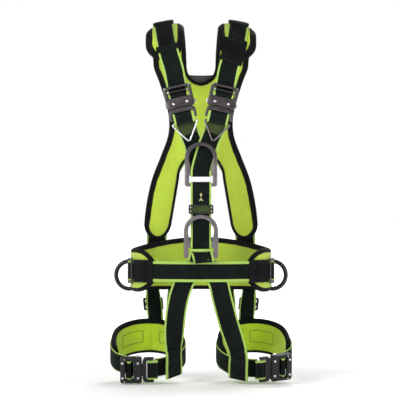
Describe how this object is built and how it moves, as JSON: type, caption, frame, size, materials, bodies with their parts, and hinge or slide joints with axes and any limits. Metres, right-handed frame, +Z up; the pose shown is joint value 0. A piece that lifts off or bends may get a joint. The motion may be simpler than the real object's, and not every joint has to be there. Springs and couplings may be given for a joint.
{
  "type": "tree climbing saddle",
  "caption": "Padded full-body climbing harness with work-positioning belt, leg loops, side-release buckles and attachment rings at chest, waist, back and sides.",
  "frame": {"origin": "top of the dorsal ring's eye, where a hook holds the harness up", "axes": "+Z up the wearer's body, +X towards the wearer's left, -Y out of the wearer's chest"},
  "size_m": [0.4047, 0.2471, 0.8017],
  "materials": {
    "lime_mesh": "padded spacer mesh with black bound edges",
    "webbing": "woven polyester, black with pale lime edges",
    "plate_steel": "satin grey plate",
    "gunmetal": "dark satin metal",
    "black_metal": "black coated metal",
    "bright_steel": "bright plated steel",
    "black_plastic": "moulded black plastic"
  },
  "bodies": {
    "harness": {"back_pad": "lime_mesh", "dorsal_plate": "black_plastic", "right_shoulder_pad": "lime_mesh", "right_shoulder_strap": "webbing", "right_back_strap": "webbing", "left_shoulder_pad": "lime_mesh", "left_shoulder_strap": "webbing", "left_back_strap": "webbing", "belt_pad": "lime_mesh", "belt_front_strap": "webbing", "belt_rear_strap": "webbing", "center_strap": "webbing", "right_chest_receiver": "gunmetal", "right_chest_strap": "webbing", "right_leg_pad": "lime_mesh", "right_thigh_strap": "webbing", "right_leg_receiver": "black_metal", "right_leg_front_strap": "webbing", "right_riser": "webbing", "right_seat_strap": "webbing", "left_chest_receiver": "gunmetal", "left_chest_strap": "webbing", "left_leg_pad": "lime_mesh", "left_thigh_strap": "webbing", "left_leg_receiver": "black_metal", "left_leg_front_strap": "webbing", "left_riser": "webbing", "left_seat_strap": "webbing"},
    "chest_ring": {"chest_ring": "plate_steel"},
    "ventral_ring": {"ventral_ring": "plate_steel"},
    "dorsal_ring": {"dorsal_ring": "plate_steel"},
    "center_adjuster": {"center_adjuster": "black_metal"},
    "right_side_ring": {"right_side_ring": "black_metal"},
    "right_belt_adjuster": {"right_belt_adjuster": "black_metal"},
    "right_riser_adjuster": {"right_riser_adjuster": "black_metal"},
    "right_chest_tongue": {"right_chest_tongue": "gunmetal", "right_chest_tongue_loop": "webbing"},
    "right_chest_adjuster_bar": {"right_chest_adjuster_bar": "bright_steel"},
    "right_chest_lower_lever": {"right_chest_lower_lever": "bright_steel"},
    "right_chest_upper_lever": {"right_chest_upper_lever": "bright_steel"},
    "right_leg_tongue": {"right_leg_tongue": "black_metal", "right_leg_tongue_loop": "webbing"},
    "right_leg_adjuster_bar": {"right_leg_adjuster_bar": "bright_steel"},
    "right_leg_lower_lever": {"right_leg_lower_lever": "bright_steel"},
    "right_leg_upper_lever": {"right_leg_upper_lever": "bright_steel"},
    "right_wire_ring": {"right_wire_ring": "bright_steel"},
    "left_side_ring": {"left_side_ring": "black_metal"},
    "left_belt_adjuster": {"left_belt_adjuster": "black_metal"},
    "left_riser_adjuster": {"left_riser_adjuster": "black_metal"},
    "left_chest_tongue": {"left_chest_tongue": "gunmetal", "left_chest_tongue_loop": "webbing"},
    "left_chest_adjuster_bar": {"left_chest_adjuster_bar": "bright_steel"},
    "left_chest_lower_lever": {"left_chest_lower_lever": "bright_steel"},
    "left_chest_upper_lever": {"left_chest_upper_lever": "bright_steel"},
    "left_leg_tongue": {"left_leg_tongue": "black_metal", "left_leg_tongue_loop": "webbing"},
    "left_leg_adjuster_bar": {"left_leg_adjuster_bar": "bright_steel"},
    "left_leg_lower_lever": {"left_leg_lower_lever": "bright_steel"},
    "left_leg_upper_lever": {"left_leg_upper_lever": "bright_steel"},
    "left_wire_ring": {"left_wire_ring": "bright_steel"}
  },
  "joints": [
    {"name": "chest_ring_tilt", "type": "hinge", "parent": "harness", "child": "chest_ring", "pos_m": [0, -0.22148, -0.19617], "axis": [1, 0, 0], "range_deg": [0, 90]},
    {"name": "ventral_ring_tilt", "type": "hinge", "parent": "harness", "child": "ventral_ring", "pos_m": [0, -0.22348, -0.35018], "axis": [1, 0, 0], "range_deg": [0, 90]},
    {"name": "dorsal_ring_tilt", "type": "hinge", "parent": "harness", "child": "dorsal_ring", "pos_m": [0, 0.00573, -0.05068], "axis": [-1, 0, 0], "range_deg": [0, 160]},
    {"name": "center_adjuster_slide", "type": "slide", "parent": "harness", "child": "center_adjuster", "axis": [0, 0, 1], "range_m": [0, 0.009]},
    {"name": "right_side_ring_swing", "type": "hinge", "parent": "harness", "child": "right_side_ring", "pos_m": [-0.1534, -0.05425, -0.40918], "axis": [0, 0, 1], "range_deg": [-80, 60]},
    {"name": "right_belt_adjuster_slide", "type": "slide", "parent": "harness", "child": "right_belt_adjuster", "axis": [-0.3053, 0.9522, 0], "range_m": [-0.006, 0.006]},
    {"name": "right_riser_adjuster_slide", "type": "slide", "parent": "harness", "child": "right_riser_adjuster", "axis": [0.1019, -0.3255, -0.94], "range_m": [-0.006, 0.004]},
    {"name": "right_chest_tongue_pull", "type": "slide", "parent": "harness", "child": "right_chest_tongue", "axis": [0.2242, -0.1911, -0.9556], "range_m": [0, 0.009]},
    {"name": "right_chest_adjuster_bar_slide", "type": "slide", "parent": "harness", "child": "right_chest_adjuster_bar", "axis": [0.2242, -0.1911, -0.9556], "range_m": [-0.003, 0.005]},
    {"name": "right_chest_lower_lever_press", "type": "slide", "parent": "harness", "child": "right_chest_lower_lever", "axis": [0.9745, 0.0392, 0.2208], "range_m": [0, 0.0024], "stiffness_N_per_m": 400, "springref_m": -0.003},
    {"name": "right_chest_upper_lever_press", "type": "slide", "parent": "harness", "child": "right_chest_upper_lever", "axis": [-0.9745, -0.0392, -0.2208], "range_m": [0, 0.0024], "stiffness_N_per_m": 400, "springref_m": -0.003},
    {"name": "right_leg_tongue_pull", "type": "slide", "parent": "harness", "child": "right_leg_tongue", "axis": [0.9998, 0.0206, 0.0083], "range_m": [0, 0.015]},
    {"name": "right_leg_adjuster_bar_slide", "type": "slide", "parent": "harness", "child": "right_leg_adjuster_bar", "axis": [0.9998, 0.0206, 0.0083], "range_m": [-0.003, 0.005]},
    {"name": "right_leg_lower_lever_press", "type": "slide", "parent": "harness", "child": "right_leg_lower_lever", "axis": [0, -0.3746, 0.9272], "range_m": [0, 0.0024], "stiffness_N_per_m": 400, "springref_m": -0.003},
    {"name": "right_leg_upper_lever_press", "type": "slide", "parent": "harness", "child": "right_leg_upper_lever", "axis": [0, 0.3746, -0.9272], "range_m": [0, 0.0024], "stiffness_N_per_m": 400, "springref_m": -0.003},
    {"name": "right_wire_ring_swing", "type": "hinge", "parent": "right_chest_tongue", "child": "right_wire_ring", "pos_m": [-0.03561, -0.19961, -0.07117], "axis": [-0.9745, -0.0392, -0.2208], "range_deg": [0, 100]},
    {"name": "left_side_ring_swing", "type": "hinge", "parent": "harness", "child": "left_side_ring", "pos_m": [0.1534, -0.05425, -0.40918], "axis": [0, 0, -1], "range_deg": [-80, 60]},
    {"name": "left_belt_adjuster_slide", "type": "slide", "parent": "harness", "child": "left_belt_adjuster", "axis": [0.3053, 0.9522, 0], "range_m": [-0.006, 0.006]},
    {"name": "left_riser_adjuster_slide", "type": "slide", "parent": "harness", "child": "left_riser_adjuster", "axis": [-0.1019, -0.3255, -0.94], "range_m": [-0.006, 0.004]},
    {"name": "left_chest_tongue_pull", "type": "slide", "parent": "harness", "child": "left_chest_tongue", "axis": [-0.2242, -0.1911, -0.9556], "range_m": [0, 0.009]},
    {"name": "left_chest_adjuster_bar_slide", "type": "slide", "parent": "harness", "child": "left_chest_adjuster_bar", "axis": [-0.2242, -0.1911, -0.9556], "range_m": [-0.003, 0.005]},
    {"name": "left_chest_lower_lever_press", "type": "slide", "parent": "harness", "child": "left_chest_lower_lever", "axis": [0.9745, -0.0392, -0.2208], "range_m": [0, 0.0024], "stiffness_N_per_m": 400, "springref_m": -0.003},
    {"name": "left_chest_upper_lever_press", "type": "slide", "parent": "harness", "child": "left_chest_upper_lever", "axis": [-0.9745, 0.0392, 0.2208], "range_m": [0, 0.0024], "stiffness_N_per_m": 400, "springref_m": -0.003},
    {"name": "left_leg_tongue_pull", "type": "slide", "parent": "harness", "child": "left_leg_tongue", "axis": [-0.9616, -0.2545, -0.1028], "range_m": [0, 0.015]},
    {"name": "left_leg_adjuster_bar_slide", "type": "slide", "parent": "harness", "child": "left_leg_adjuster_bar", "axis": [-0.9616, -0.2545, -0.1028], "range_m": [-0.003, 0.005]},
    {"name": "left_leg_lower_lever_press", "type": "slide", "parent": "harness", "child": "left_leg_lower_lever", "axis": [0, 0.3746, -0.9272], "range_m": [0, 0.0024], "stiffness_N_per_m": 400, "springref_m": -0.003},
    {"name": "left_leg_upper_lever_press", "type": "slide", "parent": "harness", "child": "left_leg_upper_lever", "axis": [0, -0.3746, 0.9272], "range_m": [0, 0.0024], "stiffness_N_per_m": 400, "springref_m": -0.003},
    {"name": "left_wire_ring_swing", "type": "hinge", "parent": "left_chest_tongue", "child": "left_wire_ring", "pos_m": [0.03561, -0.19961, -0.07117], "axis": [-0.9745, 0.0392, 0.2208], "range_deg": [0, 100]}
  ]
}
